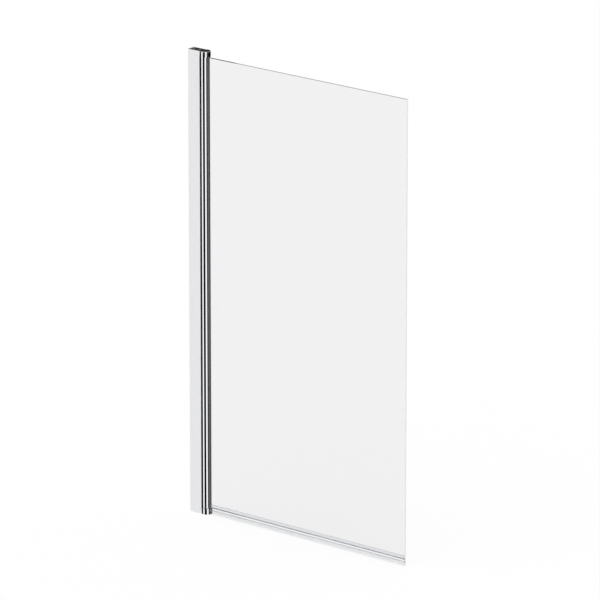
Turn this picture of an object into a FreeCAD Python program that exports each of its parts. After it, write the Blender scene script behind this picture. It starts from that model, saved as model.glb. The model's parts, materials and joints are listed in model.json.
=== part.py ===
# Pivoting over-bath shower screen: wall channel, sliding hinge post, swinging glass leaf.
# Frame: X from the wall along the glass, Y through the glass, Z up. Millimetres.
# Origin: on the wall plane, at mid thickness, at the lower end of the wall channel.
import FreeCAD, Part
import math
import os
import Sketcher

os.makedirs("parts", exist_ok=True)
doc = FreeCAD.newDocument("BathScreen")
sheet = doc.addObject("Spreadsheet::Sheet", "Sizes")

SIZES = [
    # whole screen
    ("screen_height", 1400.0, "height of the wall channel"),
    ("screen_width", 800.0, "wall to the free edge of the glass"),
    ("pivot_distance", 51.5, "wall to the swing axis"),
    ("slide_travel", 20.0, "how far the post pulls out"),
    ("overshoot", 1.0, "how far a cut runs past the metal"),
    # wall channel
    ("channel_depth", 43.4, "wall to the channel's mouth"),
    ("channel_width", 27.0, "across the channel"),
    ("channel_wall", 1.3, "side walls"),
    ("channel_web", 2.0, "web against the wall"),
    ("wall_hole", 5.5, "screw hole diameter"),
    ("outer_holes", 1200.0, "spacing of the outer pair of wall holes"),
    ("inner_holes", 400.0, "spacing of the inner pair of wall holes"),
    # clamp screws in the far side of the channel
    ("clamp_x", 31.5, "wall to the clamp screws"),
    ("clamp_low", 200.0, "lowest clamp screw"),
    ("clamp_pitch", 500.0, "between clamp screws"),
    ("clamp_shank", 4.0, "M4 shank"),
    ("clamp_hole", 4.6, "clearance hole and slot width"),
    ("clamp_head", 7.8, "pan head diameter"),
    ("clamp_head_high", 2.6, "pan head height"),
    ("clamp_head_edge", 1.0, "broken edge of the pan head"),
    ("clamp_past_nut", 0.5, "screw's end beyond the nut"),
    ("clamp_point", 0.6, "chamfer at the screw's end"),
    ("recess_arm", 2.0, "centre to the end of the cross recess"),
    ("recess_half", 0.5, "half the width of its arms"),
    ("recess_deep", 1.6, "its depth"),
    ("washer_outer", 9.0, "washer diameter"),
    ("washer_thick", 0.8, "washer thickness"),
    ("nut_side", 7.0, "square nut"),
    ("nut_thick", 2.2, "square nut thickness"),
    ("nut_inner_face", 8.0, "mid plane to the near face of the nut"),
    ("cover_outer", 12.0, "snap cover diameter"),
    ("cover_high", 4.8, "snap cover height"),
    ("cover_skin", 0.8, "snap cover thickness"),
    ("cover_edge", 1.6, "radius of the cover's edge"),
    # hinge post
    ("post_back", 6.5, "wall to the post, pushed fully in"),
    ("post_front", 42.4, "wall to the post's two tips"),
    ("post_width", 23.8, "across the post"),
    ("post_wall", 1.4, "post walls"),
    ("seat_radius", 14.7, "concave seat round the tube"),
    ("seat_wall", 2.6, "seat thickness"),
    ("rear_port_x", 12.0, "rear screw port"),
    ("front_port_x", 31.4, "front screw port"),
    ("port_bore", 3.3, "screw port bore"),
    ("port_outer", 6.3, "screw port outside"),
    ("web_half", 0.8, "half the web that carries a port"),
    ("web_bite", 0.5, "how far a web runs into the wall"),
    ("groove_near", 6.8, "wiper groove, edge nearer the mid plane"),
    ("groove_far", 8.4, "wiper groove, edge nearer the side"),
    ("groove_floor", 37.4, "wall to the groove's floor"),
    ("groove_reach", 4.0, "length of the groove's cut"),
    ("wiper_radius", 14.5, "wiper's face, just clear of the tube"),
    ("wiper_play", 0.1, "wiper to its groove"),
    ("wiper_short", 0.2, "wiper short of each cap"),
    # caps
    ("nose_x", 53.0, "centre of the cap's round nose"),
    ("nose_radius", 16.6, "radius of the nose"),
    ("nose_back", 43.7, "wall to the back of the nose"),
    ("top_cap_high", 17.0, "top cap height"),
    ("bottom_cap_high", 18.0, "bottom cap height"),
    ("cap_edge", 0.6, "rounded rim of the caps"),
    ("cap_hole", 4.4, "clearance for the cap screws"),
    ("cap_screw", 3.2, "cap screw shank"),
    ("cap_screw_head", 7.6, "countersunk head"),
    ("cap_screw_bite", 10.0, "depth into the port"),
    ("cap_screw_sunk", 0.2, "head below the cap's face"),
    ("cap_head_rim", 0.3, "straight rim of the head"),
    ("cap_screw_point", 1.0, "taper at the screw's end"),
    ("cap_screw_tip", 0.4, "radius of the screw's tip"),
    ("cap_recess_arm", 1.9, "centre to the end of its cross recess"),
    ("cap_recess_half", 0.45, "half the width of its arms"),
    ("cap_recess_deep", 1.5, "its depth"),
    ("sink_play", 0.2, "head to countersink, all round"),
    ("sink_rim", 0.7, "straight rim of the countersink"),
    # pivots
    ("pin_diameter", 5.0, "pivot pins"),
    ("bush_bore", 5.1, "bush bore"),
    ("bush_outer", 6.8, "bush outside and tube port bore"),
    ("bush_long", 14.0, "bush length"),
    ("thrust_outer", 9.0, "thrust washer"),
    ("joint_gap", 0.8, "cap to tube"),
    ("thrust_thick", 0.75, "thrust washer thickness"),
    ("pin_in_cap", 14.0, "pin length inside a cap"),
    ("pin_in_bush", 13.0, "pin length beyond a cap"),
    # pivot tube
    ("tube_radius", 14.2, "outside of the tube"),
    ("tube_wall", 1.5, "tube wall"),
    ("tube_port_outer", 9.0, "central port outside"),
    ("slot_half", 4.2, "half the glazing slot"),
    ("slot_wall", 1.4, "slot side walls"),
    ("slot_floor_back", 54.9, "wall to the back of the slot's floor"),
    ("slot_floor", 56.1, "wall to the slot's floor"),
    ("plug_long", 12.0, "tube end plug"),
    ("plug_play", 0.15, "plug to tube"),
    # glass and its seals
    ("glass_thick", 6.0, "toughened glass"),
    ("glass_start", 57.3, "wall to the held edge of the glass"),
    ("glass_low", 21.2, "lower edge of the glass"),
    ("glass_high", 1382.3, "upper edge of the glass"),
    ("glass_arris", 0.6, "ground arris"),
    ("block_long", 40.0, "setting block"),
    ("block_pitch", 620.0, "between setting blocks"),
    ("block_low", 40.0, "glass's lower edge to the first block"),
    ("strip_end", 70.0, "wall to the glazing strips' lips"),
    ("lip_long", 0.4, "straight part of a lip"),
    ("lip_taper", 0.4, "how much a lip thins"),
    ("seal_start", 70.6, "wall to the start of the bottom seal"),
    ("seal_stop", 798.5, "wall to the end of the bottom seal"),
    ("seal_leg", 1.0, "seal leg thickness"),
    ("seal_play", 0.05, "seal leg to glass"),
    ("seal_web", 1.2, "web under the glass"),
    ("seal_top", 30.8, "top of the seal's legs"),
    ("seal_lead", 0.6, "bevel at the top of the legs"),
    ("rail_high", 13.5, "top of the drip rail"),
    ("rail_low", 12.3, "underside of the drip rail"),
    ("rail_half", 3.4, "half the drip rail"),
    ("stem_half", 0.8, "half the stem"),
    ("fin_spread", 1.2, "how far each fin leans out"),
    ("fin_thick", 0.8, "fin thickness"),
    ("fin_low", 0.5, "lowest point of the fins"),
]


class Dim:
    """A number together with the cell expression that it came from."""

    def __init__(self, value, text):
        self.value = value
        self.text = text

    def join(self, other, sign, value, flip=False):
        text = other.text if isinstance(other, Dim) else repr(float(other))
        first, second = (text, self.text) if flip else (self.text, text)
        return Dim(value, f"({first} {sign} {second})")

    def __add__(self, other):
        return self.join(other, "+", self.value + number(other))

    def __radd__(self, other):
        return self.join(other, "+", number(other) + self.value, True)

    def __sub__(self, other):
        return self.join(other, "-", self.value - number(other))

    def __rsub__(self, other):
        return self.join(other, "-", number(other) - self.value, True)

    def __mul__(self, other):
        return self.join(other, "*", self.value * number(other))

    def __rmul__(self, other):
        return self.join(other, "*", number(other) * self.value, True)

    def __truediv__(self, other):
        return self.join(other, "/", self.value / number(other))

    def __neg__(self):
        return Dim(-self.value, f"(0 - {self.text})")


def number(item):
    return item.value if isinstance(item, Dim) else float(item)


def root(item):
    return Dim(math.sqrt(item.value), f"sqrt({item.text})")


def chord(radius, offset):
    """Half the chord of a circle at a distance from its centre."""
    return root(radius * radius - offset * offset)


class Cells:
    """The sheet's cells by name."""


S = Cells()
for row, (alias, value, note) in enumerate(SIZES, start=1):
    sheet.set(f"A{row}", alias)
    sheet.set(f"B{row}", str(value))
    sheet.setAlias(f"B{row}", alias)
    sheet.set(f"C{row}", note)
    setattr(S, alias, Dim(value, f"Sizes.{alias}"))
doc.recompute()

NODES = []


def bind(thing, path, item):
    """Set a property from a size, bound to the sheet."""
    if isinstance(item, Dim):
        thing.setExpression(path, item.text)
    else:
        setattr(thing, path, item)


def new_body(label):
    body = doc.addObject("PartDesign::Body", label)
    body.Label = label
    body.AllowCompound = True
    NODES.append(body)
    return body


def origin_of(body, role):
    return [f for f in body.Origin.OriginFeatures if f.Role == role][0]


def new_sketch(body, name, role, lift=None):
    """A sketch on one of the body's own planes, moved along the plane's normal by lift."""
    sketch = body.newObject("Sketcher::SketchObject", name)
    sketch.AttachmentSupport = [(origin_of(body, role), "")]
    sketch.MapMode = "FlatFace"
    if lift is not None:
        sketch.AttachmentOffset = FreeCAD.Placement(
            FreeCAD.Vector(0, 0, number(lift)), FreeCAD.Rotation()
        )
        bind(sketch, "AttachmentOffset.Base.z", lift)
    return sketch


def hold(sketch, kind, geometry, place, item):
    """Hold one coordinate of a point at a size."""
    if abs(number(item)) < 1e-9:
        axis = -2 if kind == "DistanceX" else -1
        sketch.addConstraint(Sketcher.Constraint("PointOnObject", geometry, place, axis))
        return
    index = sketch.addConstraint(
        Sketcher.Constraint(kind, -1, 1, geometry, place, number(item))
    )
    if isinstance(item, Dim):
        sketch.setExpression(f"Constraints[{index}]", item.text)


def outline(sketch, start, steps):
    """A closed outline. A step is (x, y) for a line, or (x, y, cx, cy, radius, turn) for an arc:
    turn is 1 anticlockwise and -1 clockwise."""
    corners = [start] + [step[:2] for step in steps]
    edges = []
    for index, step in enumerate(steps):
        first = FreeCAD.Vector(number(corners[index][0]), number(corners[index][1]), 0)
        last = FreeCAD.Vector(number(step[0]), number(step[1]), 0)
        if len(step) == 2:
            edges.append((sketch.addGeometry(Part.LineSegment(first, last)), 1, 2))
            continue
        centre = FreeCAD.Vector(number(step[2]), number(step[3]), 0)
        circle = Part.Circle(centre, FreeCAD.Vector(0, 0, 1), number(step[4]))
        low, high = (first, last) if step[5] > 0 else (last, first)
        begin = math.atan2(low.y - centre.y, low.x - centre.x)
        finish = math.atan2(high.y - centre.y, high.x - centre.x)
        if finish <= begin:
            finish += 2 * math.pi
        arc = sketch.addGeometry(Part.ArcOfCircle(circle, begin, finish))
        ends = (1, 2) if step[5] > 0 else (2, 1)
        edges.append((arc, ends[0], ends[1]))
        hold(sketch, "DistanceX", arc, 3, step[2])
    for index, edge in enumerate(edges):
        following = edges[(index + 1) % len(edges)]
        sketch.addConstraint(
            Sketcher.Constraint("Coincident", edge[0], edge[2], following[0], following[1])
        )
    for index, edge in enumerate(edges):
        hold(sketch, "DistanceX", edge[0], edge[1], corners[index][0])
        hold(sketch, "DistanceY", edge[0], edge[1], corners[index][1])


def box(sketch, low_x, low_y, high_x, high_y):
    steps = [(high_x, low_y), (high_x, high_y), (low_x, high_y), (low_x, low_y)]
    outline(sketch, (low_x, low_y), steps)


def ring(sketch, x, y, diameter):
    """A circle at a point."""
    centre = FreeCAD.Vector(number(x), number(y), 0)
    circle = Part.Circle(centre, FreeCAD.Vector(0, 0, 1), number(diameter) / 2)
    index = sketch.addGeometry(circle)
    hold(sketch, "DistanceX", index, 3, x)
    hold(sketch, "DistanceY", index, 3, y)
    held = sketch.addConstraint(Sketcher.Constraint("Diameter", index, number(diameter)))
    if isinstance(diameter, Dim):
        sketch.setExpression(f"Constraints[{held}]", diameter.text)


def pad(body, sketch, length, back=False):
    feature = body.newObject("PartDesign::Pad", sketch.Label + "_pad")
    feature.Profile = sketch
    feature.Length = number(length)
    bind(feature, "Length", length)
    feature.Reversed = back
    doc.recompute()
    return feature


def pocket(body, sketch, length, back=False):
    """Cut along the sketch's normal, or against it when back is set. It must take material off."""
    before = body.Shape.Volume
    feature = body.newObject("PartDesign::Pocket", sketch.Label + "_cut")
    feature.Profile = sketch
    feature.Length = number(length)
    bind(feature, "Length", length)
    feature.Reversed = not back
    doc.recompute()
    if not body.Shape.Volume < before - 1e-3:
        raise RuntimeError(f"{sketch.Label} in {body.Label} cuts nothing")
    return feature


def revolve(body, sketch):
    """A full turn about the sketch's first line."""
    feature = body.newObject("PartDesign::Revolution", sketch.Label + "_turned")
    feature.Profile = sketch
    feature.ReferenceAxis = (sketch, ["Edge1"])
    feature.Angle = 360
    doc.recompute()
    return feature


def countersink(body, sketch, axis):
    """A full turn cut out about one of the sketch's lines. It must take material off."""
    before = body.Shape.Volume
    feature = body.newObject("PartDesign::Groove", sketch.Label + "_cut")
    feature.Profile = sketch
    feature.ReferenceAxis = (sketch, [axis])
    feature.Angle = 360
    doc.recompute()
    if not body.Shape.Volume < before - 1e-3:
        raise RuntimeError(f"{sketch.Label} in {body.Label} cuts nothing")
    return feature


def cross_recess(sketch, x, y, arm, half):
    """A plus-shaped driver recess centred on a point."""
    outline(
        sketch,
        (x - half, y - arm),
        [
            (x + half, y - arm),
            (x + half, y - half),
            (x + arm, y - half),
            (x + arm, y + half),
            (x + half, y + half),
            (x + half, y + arm),
            (x - half, y + arm),
            (x - half, y + half),
            (x - arm, y + half),
            (x - arm, y - half),
            (x - half, y - half),
            (x - half, y - arm),
        ],
    )


def repeat(body, originals, role, length, count):
    """Copies of features in a row along one of the body's axes, length from first to last."""
    feature = body.newObject("PartDesign::LinearPattern", "row")
    feature.Originals = originals
    feature.Direction = (origin_of(body, role), [""])
    feature.Length = number(length)
    bind(feature, "Length", length)
    feature.Occurrences = count
    body.Tip = feature
    doc.recompute()
    return feature


def round_rim(body, height, radius, inside):
    """Round the edges that lie at one height, where inside says which."""
    names = []
    for index, edge in enumerate(body.Shape.Edges, start=1):
        bounds = edge.BoundBox
        flat = abs(bounds.ZMin - height) < 1e-4 and abs(bounds.ZMax - height) < 1e-4
        if flat and inside(bounds):
            names.append(f"Edge{index}")
    base = body.Tip
    feature = body.newObject("PartDesign::Fillet", "rim")
    feature.Base = (base, names)
    feature.Radius = number(radius)
    bind(feature, "Radius", radius)
    body.Tip = feature
    doc.recompute()
    return feature


half_channel = S.channel_width / 2
half_post = S.post_width / 2
mid_height = S.screen_height / 2
tube_low = S.bottom_cap_high + S.joint_gap
cap_under = S.screen_height - S.top_cap_high
tube_high = cap_under - S.joint_gap
clamps = [S.clamp_low + S.clamp_pitch * step for step in range(3)]

# ---------------------------------------------------------------- wall side
# The U channel: web on the wall, open towards the glass.
body = new_body("wall_channel")
sketch = new_sketch(body, "u_section", "XY_Plane")
inner = half_channel - S.channel_wall
outline(
    sketch,
    (0, -half_channel),
    [
        (S.channel_depth, -half_channel),
        (S.channel_depth, -inner),
        (S.channel_web, -inner),
        (S.channel_web, inner),
        (S.channel_depth, inner),
        (S.channel_depth, half_channel),
        (0, half_channel),
        (0, -half_channel),
    ],
)
pad(body, sketch, S.screen_height)
sketch = new_sketch(body, "wall_holes", "YZ_Plane")
for spacing in (S.outer_holes, S.inner_holes):
    ring(sketch, 0, mid_height - spacing / 2, S.wall_hole)
    ring(sketch, 0, mid_height + spacing / 2, S.wall_hole)
pocket(body, sketch, S.channel_web + S.overshoot)
sketch = new_sketch(body, "clamp_holes", "XZ_Plane", -half_channel - S.overshoot)
for height in clamps:
    ring(sketch, S.clamp_x, height, S.clamp_hole)
pocket(body, sketch, S.channel_wall + S.overshoot * 2)

# Pan screws, turned about an axis along Y, then repeated up the channel.
head_base = half_channel + S.washer_thick
head_top = head_base + S.clamp_head_high
body = new_body("clamp_screws")
sketch = new_sketch(body, "half_screw", "YZ_Plane", S.clamp_x)
shank = S.clamp_shank / 2
head = S.clamp_head / 2
tip = S.nut_inner_face - S.clamp_past_nut
outline(
    sketch,
    (tip, S.clamp_low),
    [
        (head_top, S.clamp_low),
        (head_top, S.clamp_low + head - S.clamp_head_edge),
        (head_top - S.clamp_head_edge, S.clamp_low + head),
        (head_base, S.clamp_low + head),
        (head_base, S.clamp_low + shank),
        (tip + S.clamp_point, S.clamp_low + shank),
        (tip, S.clamp_low + shank - S.clamp_point),
        (tip, S.clamp_low),
    ],
)
turned = revolve(body, sketch)
sketch = new_sketch(body, "recess", "XZ_Plane", -head_top)
cross_recess(sketch, S.clamp_x, S.clamp_low, S.recess_arm, S.recess_half)
recess = pocket(body, sketch, S.recess_deep)
repeat(body, [turned, recess], "Z_Axis", S.clamp_pitch * 2, 3)

# Washers, square nuts and snap covers for the same screws.
body = new_body("clamp_washers")
sketch = new_sketch(body, "washer", "XZ_Plane", -half_channel - S.washer_thick)
for height in clamps:
    ring(sketch, S.clamp_x, height, S.washer_outer)
    ring(sketch, S.clamp_x, height, S.clamp_shank + 0.4)
pad(body, sketch, S.washer_thick)

body = new_body("clamp_nuts")
nut_face = S.nut_inner_face + S.nut_thick
sketch = new_sketch(body, "nut", "XZ_Plane", -nut_face)
side = S.nut_side / 2
for height in clamps:
    box(sketch, S.clamp_x - side, height - side, S.clamp_x + side, height + side)
    ring(sketch, S.clamp_x, height, S.clamp_shank)
pad(body, sketch, S.nut_thick)

body = new_body("clamp_screw_covers")
sketch = new_sketch(body, "half_cover", "YZ_Plane", S.clamp_x)
rim = S.cover_outer / 2
crown = half_channel + S.cover_high
shoulder = crown - S.cover_edge
edge_in = S.clamp_low + rim - S.cover_edge
outline(
    sketch,
    (crown - S.cover_skin, S.clamp_low),
    [
        (crown, S.clamp_low),
        (crown, edge_in),
        (shoulder, S.clamp_low + rim, shoulder, edge_in, S.cover_edge, 1),
        (half_channel, S.clamp_low + rim),
        (half_channel, S.clamp_low + rim - S.cover_skin),
        (crown - S.cover_skin, S.clamp_low + rim - S.cover_skin),
        (crown - S.cover_skin, S.clamp_low),
    ],
)
repeat(body, [revolve(body, sketch)], "Z_Axis", S.clamp_pitch * 2, 3)

# ---------------------------------------------------------------- post side
# The post: a hollow box whose front is a concave seat round the tube.
body = new_body("hinge_post")
sketch = new_sketch(body, "post_section", "XY_Plane", S.bottom_cap_high)
post_long = cap_under - S.bottom_cap_high
tip_y = chord(S.seat_radius, S.pivot_distance - S.post_front)
outline(
    sketch,
    (S.post_back, -half_post),
    [
        (S.post_front, -half_post),
        (S.post_front, -tip_y),
        (S.post_front, tip_y, S.pivot_distance, 0, S.seat_radius, -1),
        (S.post_front, half_post),
        (S.post_back, half_post),
        (S.post_back, -half_post),
    ],
)
pad(body, sketch, post_long)
sketch = new_sketch(body, "hollow", "XY_Plane", S.bottom_cap_high)
hollow_y = half_post - S.post_wall
seat_back = S.seat_radius + S.seat_wall
hollow_x = S.pivot_distance - chord(seat_back, hollow_y)
outline(
    sketch,
    (S.post_back + S.post_wall, -hollow_y),
    [
        (hollow_x, -hollow_y),
        (hollow_x, hollow_y, S.pivot_distance, 0, seat_back, -1),
        (S.post_back + S.post_wall, hollow_y),
        (S.post_back + S.post_wall, -hollow_y),
    ],
)
pocket(body, sketch, post_long)
sketch = new_sketch(body, "rear_port_web", "XY_Plane", S.bottom_cap_high)
box(sketch, S.post_back + S.web_bite, -S.web_half, S.rear_port_x, S.web_half)
pad(body, sketch, post_long)
sketch = new_sketch(body, "front_port_web", "XY_Plane", S.bottom_cap_high)
seat_bite = S.pivot_distance - seat_back + S.web_bite
box(sketch, S.front_port_x, -S.web_half, seat_bite, S.web_half)
pad(body, sketch, post_long)
for name, x in (("rear_port", S.rear_port_x), ("front_port", S.front_port_x)):
    sketch = new_sketch(body, name, "XY_Plane", S.bottom_cap_high)
    ring(sketch, x, 0, S.port_outer)
    pad(body, sketch, post_long)
sketch = new_sketch(body, "port_bores", "XY_Plane", S.bottom_cap_high)
ring(sketch, S.rear_port_x, 0, S.port_bore)
ring(sketch, S.front_port_x, 0, S.port_bore)
pocket(body, sketch, post_long)
sketch = new_sketch(body, "wiper_grooves", "XY_Plane", S.bottom_cap_high)
groove_end = S.groove_floor + S.groove_reach
box(sketch, S.groove_floor, S.groove_near, groove_end, S.groove_far)
box(sketch, S.groove_floor, -S.groove_far, groove_end, -S.groove_near)
pocket(body, sketch, post_long)
# Slots along X in the far wall, so that the post slides past the clamp screws.
sketch = new_sketch(body, "clamp_slots", "XZ_Plane", -half_post - S.overshoot)
slot_low = S.clamp_x - S.slide_travel
reach = S.clamp_hole / 2
for height in clamps:
    outline(
        sketch,
        (slot_low, height - reach),
        [
            (S.clamp_x, height - reach),
            (S.clamp_x, height + reach, S.clamp_x, height, reach, 1),
            (slot_low, height + reach),
            (slot_low, height - reach, slot_low, height, reach, 1),
        ],
    )
pocket(body, sketch, S.post_wall + S.overshoot * 1.5)

# Rubber wipers in the seat's grooves.
for name, sign in (("front_wiper", -1), ("rear_wiper", 1)):
    body = new_body(name)
    sketch = new_sketch(body, name + "_section", "XY_Plane", S.bottom_cap_high + S.wiper_short)
    near = S.groove_near + S.wiper_play
    far = S.groove_far - S.wiper_play
    back = S.groove_floor + S.wiper_play
    near_x = S.pivot_distance - chord(S.wiper_radius, near)
    far_x = S.pivot_distance - chord(S.wiper_radius, far)
    outline(
        sketch,
        (back, near * sign),
        [
            (near_x, near * sign),
            (far_x, far * sign, S.pivot_distance, 0, S.wiper_radius, -sign),
            (back, far * sign),
            (back, near * sign),
        ],
    )
    pad(body, sketch, post_long - S.wiper_short * 2)

# Caps: a tongue that lies inside the channel over the post, and a round nose over the tube.
nose_y = chord(S.nose_radius, S.nose_x - S.nose_back)


def cap(name, base, high, rim_at, screw_face, pin_face):
    """A cap from base up to base + high. The screws go in at screw_face, the pin at pin_face."""
    body = new_body(name)
    sketch = new_sketch(body, name + "_plan", "XY_Plane", base)
    outline(
        sketch,
        (S.post_back, -half_post),
        [
            (S.nose_back, -half_post),
            (S.nose_back, -nose_y),
            (S.nose_back, nose_y, S.nose_x, 0, S.nose_radius, 1),
            (S.nose_back, half_post),
            (S.post_back, half_post),
            (S.post_back, -half_post),
        ],
    )
    pad(body, sketch, high)
    upper = rim_at == "high"
    height = number(base) + (number(high) if upper else 0)
    nose = number(S.nose_back)
    round_rim(body, height, S.cap_edge, lambda bounds: bounds.XMax > nose + 1)
    sketch = new_sketch(body, name + "_screw_holes", "XY_Plane", base)
    ring(sketch, S.rear_port_x, 0, S.cap_hole)
    ring(sketch, S.front_port_x, 0, S.cap_hole)
    pocket(body, sketch, high)
    for step, x in enumerate((S.rear_port_x, S.front_port_x)):
        sketch = new_sketch(body, f"{name}_sink_{step}", "XZ_Plane")
        inward = -1 if upper else 1
        wide = S.cap_screw_head / 2 + S.sink_play
        outline(
            sketch,
            (x, screw_face),
            [
                (x + wide, screw_face),
                (x + wide, screw_face + inward * S.sink_rim),
                (x, screw_face + inward * (S.sink_rim + wide)),
                (x, screw_face),
            ],
        )
        countersink(body, sketch, "Edge4")
    sketch = new_sketch(body, name + "_pin_bore", "XY_Plane", pin_face)
    ring(sketch, S.pivot_distance, 0, S.pin_diameter)
    pocket(body, sketch, S.pin_in_cap, back=not upper)
    return body


cap("top_cap", cap_under, S.top_cap_high, "high", S.screen_height, cap_under)
cap("bottom_cap", Dim(0.0, "0.0"), S.bottom_cap_high, "low", Dim(0.0, "0.0"), S.bottom_cap_high)


def cap_screws(name, face, inward, cap_high):
    """Two countersunk screws from a cap's outer face into the post's ports."""
    body = new_body(name)
    shank = S.cap_screw / 2
    head = S.cap_screw_head / 2
    top = face + inward * S.cap_screw_sunk
    end = face + inward * (cap_high + S.cap_screw_bite)
    sketch = new_sketch(body, name + "_half", "XZ_Plane")
    x = S.rear_port_x
    outline(
        sketch,
        (x, end),
        [
            (x, top),
            (x + head, top),
            (x + head, top + inward * S.cap_head_rim),
            (x + shank, top + inward * (S.cap_head_rim + head - shank)),
            (x + shank, end - inward * S.cap_screw_point),
            (x + S.cap_screw_tip, end),
            (x, end),
        ],
    )
    turned = revolve(body, sketch)
    sketch = new_sketch(body, name + "_recess", "XY_Plane", top)
    cross_recess(sketch, x, 0, S.cap_recess_arm, S.cap_recess_half)
    recess = pocket(body, sketch, S.cap_recess_deep, back=inward < 0)
    repeat(body, [turned, recess], "X_Axis", S.front_port_x - S.rear_port_x, 2)


cap_screws("top_cap_screws", S.screen_height, -1, S.top_cap_high)
cap_screws("bottom_cap_screws", Dim(0.0, "0.0"), 1, S.bottom_cap_high)


def upright(label, x, base, high, outer, bore=None, arris=0.0):
    """A round piece on a vertical axis: a cylinder, with a bore or broken edges if it has them."""
    solid = doc.addObject("Part::Cylinder", label + "_outer")
    solid.Placement = FreeCAD.Placement(
        FreeCAD.Vector(number(x), 0, number(base)), FreeCAD.Rotation()
    )
    bind(solid, "Placement.Base.x", x)
    bind(solid, "Placement.Base.z", base)
    bind(solid, "Radius", outer / 2)
    bind(solid, "Height", high)
    piece = solid
    if bore is not None:
        hole = doc.addObject("Part::Cylinder", label + "_bore")
        bind(hole, "Placement.Base.x", x)
        bind(hole, "Placement.Base.z", base - S.overshoot)
        bind(hole, "Radius", bore / 2)
        bind(hole, "Height", high + S.overshoot * 2)
        piece = doc.addObject("Part::Cut", label + "_ring")
        piece.Base = solid
        piece.Tool = hole
    doc.recompute()
    if arris:
        names = []
        for index, edge in enumerate(piece.Shape.Edges, start=1):
            if edge.Closed and abs(edge.BoundBox.ZLength) < 1e-6:
                names.append((index, arris, arris))
        chamfer = doc.addObject("Part::Chamfer", label + "_arris")
        chamfer.Base = piece
        chamfer.Edges = names
        piece = chamfer
        doc.recompute()
    piece.Label = label
    NODES.append(piece)
    return piece


# Steel pivot pins, and the washer that the leaf turns on.
pin_long = S.pin_in_cap + S.pin_in_bush
axis_x = S.pivot_distance
upright("bottom_pivot_pin", axis_x, S.bottom_cap_high - S.pin_in_cap, pin_long, S.pin_diameter, None, 0.5)
upright("top_pivot_pin", axis_x, cap_under - S.pin_in_bush, pin_long, S.pin_diameter, None, 0.5)
upright("thrust_washer", axis_x, S.bottom_cap_high, S.thrust_thick, S.thrust_outer, S.bush_bore)

# ---------------------------------------------------------------- leaf side
# The pivot tube: round outside, a central port for the bushes, a slot for the glass.
tube_long = tube_high - tube_low
inside = S.tube_radius - S.tube_wall
body = new_body("pivot_tube")
sketch = new_sketch(body, "round", "XY_Plane", tube_low)
ring(sketch, axis_x, 0, S.tube_radius * 2)
ring(sketch, axis_x, 0, inside * 2)
pad(body, sketch, tube_long)
sketch = new_sketch(body, "port", "XY_Plane", tube_low)
ring(sketch, axis_x, 0, S.tube_port_outer)
pad(body, sketch, tube_long)
sketch = new_sketch(body, "slot_block", "XY_Plane", tube_low)
slot_out = S.slot_half + S.slot_wall
block_x = axis_x + chord(S.tube_radius - S.web_bite, slot_out)
box(sketch, S.slot_floor_back, -slot_out, block_x, slot_out)
pad(body, sketch, tube_long)
sketch = new_sketch(body, "port_bore", "XY_Plane", tube_low)
ring(sketch, axis_x, 0, S.bush_outer)
pocket(body, sketch, tube_long)
sketch = new_sketch(body, "glazing_slot", "XY_Plane", tube_low)
box(sketch, S.slot_floor, -S.slot_half, axis_x + S.tube_radius + S.overshoot, S.slot_half)
pocket(body, sketch, tube_long)

upright("bottom_bush", axis_x, tube_low, S.bush_long, S.bush_outer, S.bush_bore)
upright("top_bush", axis_x, tube_high - S.bush_long, S.bush_long, S.bush_outer, S.bush_bore)

# Plugs that close the tube's hollow at each end: a C round the port and the slot.
plug_r = inside - S.plug_play
notch = slot_out + S.plug_play
ring_r = S.tube_port_outer / 2 + S.plug_play
notch_x = axis_x + chord(plug_r, notch)
notch_in = S.slot_floor_back - S.plug_play
for name, base in (("bottom_tube_plug", tube_low), ("top_tube_plug", tube_high - S.plug_long)):
    body = new_body(name)
    sketch = new_sketch(body, name + "_plan", "XY_Plane", base)
    outline(
        sketch,
        (notch_x, notch),
        [
            (notch_x, -notch, axis_x, 0, plug_r, 1),
            (notch_in, -notch),
            (notch_in, notch),
            (notch_x, notch),
        ],
    )
    pad(body, sketch, S.plug_long)
    sketch = new_sketch(body, name + "_port", "XY_Plane", base)
    ring(sketch, axis_x, 0, ring_r * 2)
    pocket(body, sketch, S.plug_long)

# Glass, with ground arrises.
half_glass = S.glass_thick / 2
body = new_body("glass_panel")
sketch = new_sketch(body, "pane", "XZ_Plane", -half_glass)
box(sketch, S.glass_start, S.glass_low, S.screen_width, S.glass_high)
pad(body, sketch, S.glass_thick)
pane = body.Tip
arris = body.newObject("PartDesign::Chamfer", "arris")
rims = []
for index, edge in enumerate(body.Shape.Edges, start=1):
    bounds = edge.BoundBox
    if bounds.YLength < 1e-4:
        rims.append(f"Edge{index}")
arris.Base = (pane, rims)
arris.Size = number(S.glass_arris)
bind(arris, "Size", S.glass_arris)
body.Tip = arris
doc.recompute()

# Rubber strips each side of the glass in the slot, with a lip outside the tube.
for name, sign in (("front_glazing_strip", -1), ("rear_glazing_strip", 1)):
    body = new_body(name)
    sketch = new_sketch(body, name + "_section", "XY_Plane", S.glass_low)
    lip_x = axis_x + chord(S.tube_radius, S.slot_half)
    outline(
        sketch,
        (S.glass_start, half_glass * sign),
        [
            (S.strip_end, half_glass * sign),
            (S.strip_end, (S.slot_half - S.lip_taper) * sign),
            (lip_x + S.lip_long, S.slot_half * sign),
            (S.glass_start, S.slot_half * sign),
            (S.glass_start, half_glass * sign),
        ],
    )
    pad(body, sketch, S.glass_high - S.glass_low)

# Setting blocks between the glass's edge and the slot's floor.
body = new_body("setting_blocks")
sketch = new_sketch(body, "block", "XY_Plane", S.glass_low + S.block_low)
box(sketch, S.slot_floor, -half_glass, S.glass_start, half_glass)
block = pad(body, sketch, S.block_long)
repeat(body, [block], "Z_Axis", S.block_pitch * 2, 3)

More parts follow.
